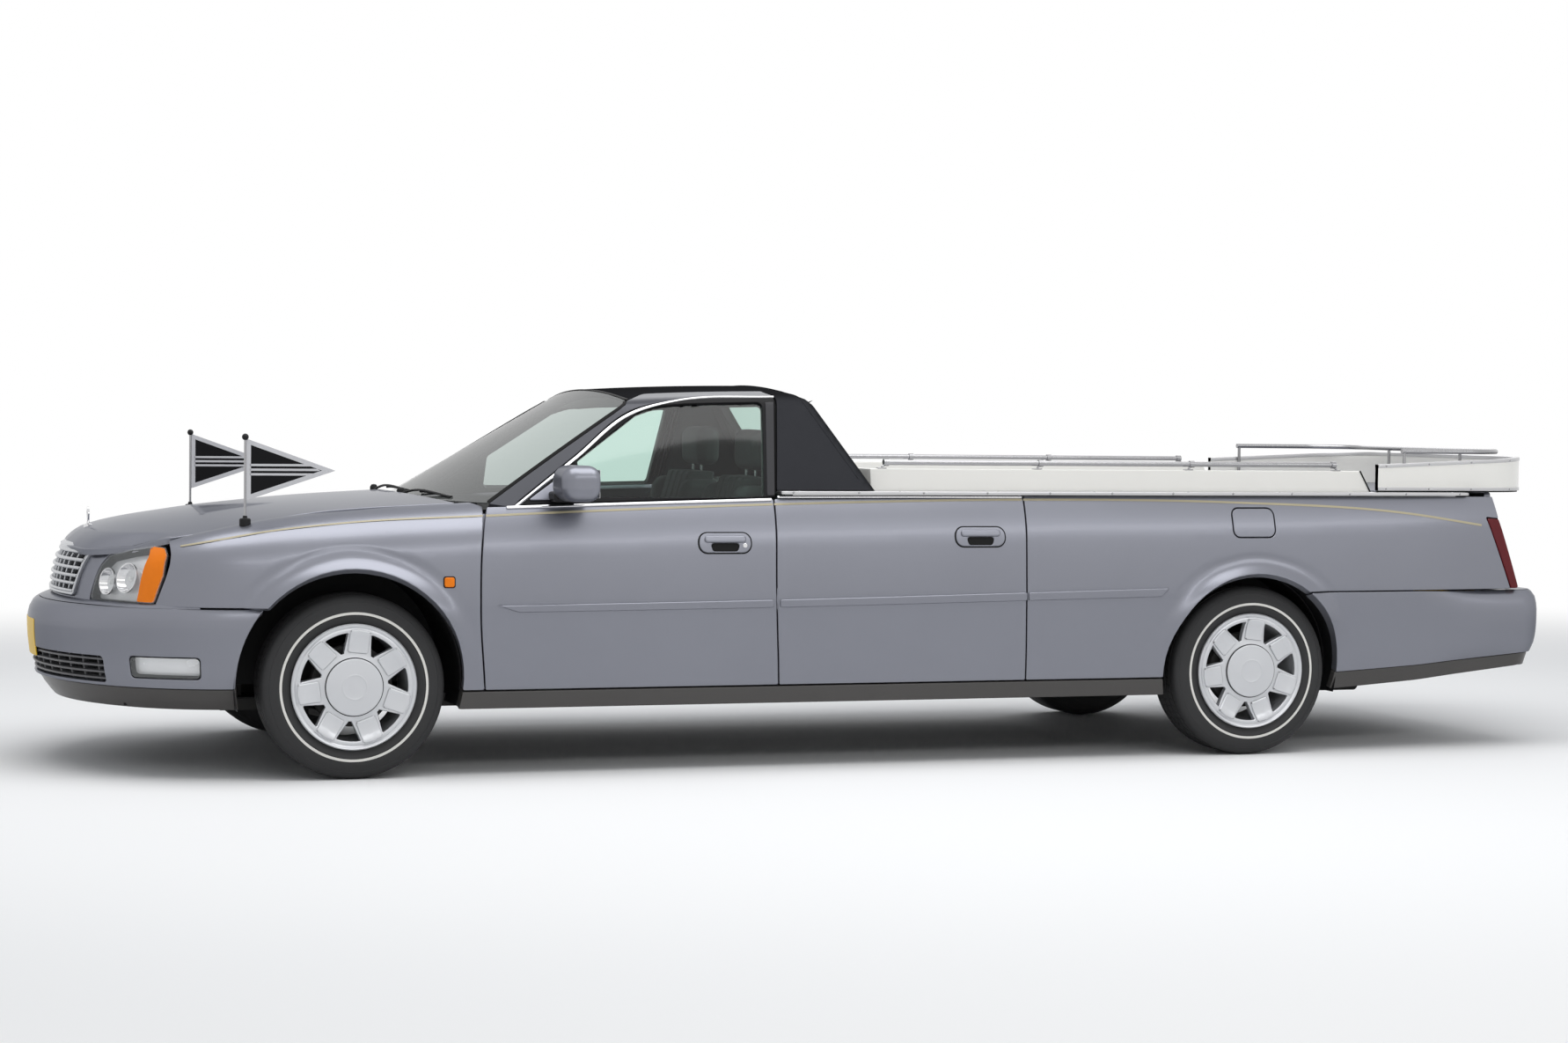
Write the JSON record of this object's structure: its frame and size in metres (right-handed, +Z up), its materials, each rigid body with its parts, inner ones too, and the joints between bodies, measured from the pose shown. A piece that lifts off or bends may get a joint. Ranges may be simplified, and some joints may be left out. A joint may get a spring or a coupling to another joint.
{
  "type": "open-deck hearse",
  "caption": "Long open-deck hearse: two-seat vinyl-roofed cab, railed bier deck behind it, closed lower doors, raised tail ring and flag poles on the front wings.",
  "frame": {"origin": "on the ground, halfway along the body, on the centre line", "axes": "+X from the nose to the tail, +Y to the right side, +Z up"},
  "size_m": [6.2, 2.15, 1.4756],
  "materials": {
    "paint": "gloss metallic",
    "lower_trim": "satin",
    "vinyl": "grained",
    "chrome": "polished",
    "glass": "tinted",
    "lamp_clear": "clear",
    "lamp_red": "gloss",
    "grille": "satin",
    "black": "matt",
    "white": "gloss",
    "aluminium": "brushed",
    "upholstery": "woven",
    "dash": "grained",
    "underbody": "matt",
    "tyre": "matt",
    "wheel": "silver paint",
    "flag": "satin"
  },
  "bodies": {
    "body": {"front_fenders": "paint", "quarter_panels": "paint", "nose_panel": "paint", "front_bumper": "paint", "front_lamps": "lamp_clear", "grilles": "grille", "lower_trim": "lower_trim", "wipers": "black", "pillars": "paint", "cab_shell": "vinyl", "windscreen": "glass", "rear_window": "glass", "cowl": "black", "seats": "upholstery", "dashboard": "dash", "steering_wheel": "dash", "floor_pan": "underbody", "bulkhead": "dash", "front_subframe": "underbody", "rear_axle": "underbody", "engine_block": "underbody", "exhaust": "underbody", "wheel_housings": "black", "deck_floor": "aluminium", "deck_ledges": "aluminium", "deck_walls": "white", "deck_rails": "chrome", "rear_bumper": "paint", "tail_lamps": "lamp_red", "flagpoles": "chrome", "pennants": "flag"},
    "hood": {"hood": "paint", "hood_ornament": "chrome"},
    "front_door_left": {"front_door_left": "paint", "front_glass_left": "glass", "mirror_left": "paint"},
    "front_door_right": {"front_door_right": "paint", "front_glass_right": "glass", "mirror_right": "paint"},
    "rear_door_left": {"rear_door_left": "paint"},
    "rear_door_right": {"rear_door_right": "paint"},
    "tail_lid": {"tail_lid": "paint", "tail_ring": "white", "tail_rail": "chrome"},
    "fuel_flap": {"fuel_flap": "paint"},
    "upright_left": {"upright_left": "underbody"},
    "upright_right": {"upright_right": "underbody"},
    "wheel_front_left": {"tyre_front_left": "tyre", "wheel_front_left": "wheel"},
    "wheel_front_right": {"tyre_front_right": "tyre", "wheel_front_right": "wheel"},
    "wheel_rear_left": {"tyre_rear_left": "tyre", "wheel_rear_left": "wheel"},
    "wheel_rear_right": {"tyre_rear_right": "tyre", "wheel_rear_right": "wheel"}
  },
  "joints": [
    {"name": "steer_left", "type": "hinge", "parent": "body", "child": "upright_left", "pos_m": [-2, -0.665, 0.342], "axis": [0, 0, 1], "range_deg": [-35, 35]},
    {"name": "steer_right", "type": "hinge", "parent": "body", "child": "upright_right", "pos_m": [-2, 0.665, 0.342], "axis": [0, 0, 1], "range_deg": [-35, 35]},
    {"name": "spin_front_left", "type": "hinge", "parent": "upright_left", "child": "wheel_front_left", "pos_m": [-2, -0.79, 0.342], "axis": [0, 1, 0], "continuous": true},
    {"name": "spin_front_right", "type": "hinge", "parent": "upright_right", "child": "wheel_front_right", "pos_m": [-2, 0.79, 0.342], "axis": [0, 1, 0], "continuous": true},
    {"name": "spin_rear_left", "type": "hinge", "parent": "body", "child": "wheel_rear_left", "pos_m": [1.66, -0.79, 0.342], "axis": [0, 1, 0], "continuous": true},
    {"name": "spin_rear_right", "type": "hinge", "parent": "body", "child": "wheel_rear_right", "pos_m": [1.66, 0.79, 0.342], "axis": [0, 1, 0], "continuous": true},
    {"name": "front_door_left_hinge", "type": "hinge", "parent": "body", "child": "front_door_left", "pos_m": [-1.5365, -0.941, 0.635], "axis": [0, 0, -1], "range_deg": [0, 65]},
    {"name": "front_door_right_hinge", "type": "hinge", "parent": "body", "child": "front_door_right", "pos_m": [-1.5365, 0.941, 0.635], "axis": [0, 0, 1], "range_deg": [0, 65]},
    {"name": "rear_door_left_hinge", "type": "hinge", "parent": "body", "child": "rear_door_left", "pos_m": [-0.3825, -0.941, 0.655], "axis": [0, 0, -1], "range_deg": [0, 65]},
    {"name": "rear_door_right_hinge", "type": "hinge", "parent": "body", "child": "rear_door_right", "pos_m": [-0.3825, 0.941, 0.655], "axis": [0, 0, 1], "range_deg": [0, 65]},
    {"name": "hood_hinge", "type": "hinge", "parent": "body", "child": "hood", "pos_m": [-1.588, 0, 1.01], "axis": [0, 1, 0], "range_deg": [0, 55]},
    {"name": "tail_lid_hinge", "type": "hinge", "parent": "body", "child": "tail_lid", "pos_m": [2.302, 0, 1.066], "axis": [0, -1, 0], "range_deg": [0, 60]},
    {"name": "fuel_flap_hinge", "type": "hinge", "parent": "body", "child": "fuel_flap", "pos_m": [1.567, -0.9234, 0.943], "axis": [0, -0.1444, -0.9895], "range_deg": [0, 90]}
  ],
  "couplings": [
    {"joint": "steer_right", "follows": "steer_left", "ratio": 1}
  ]
}
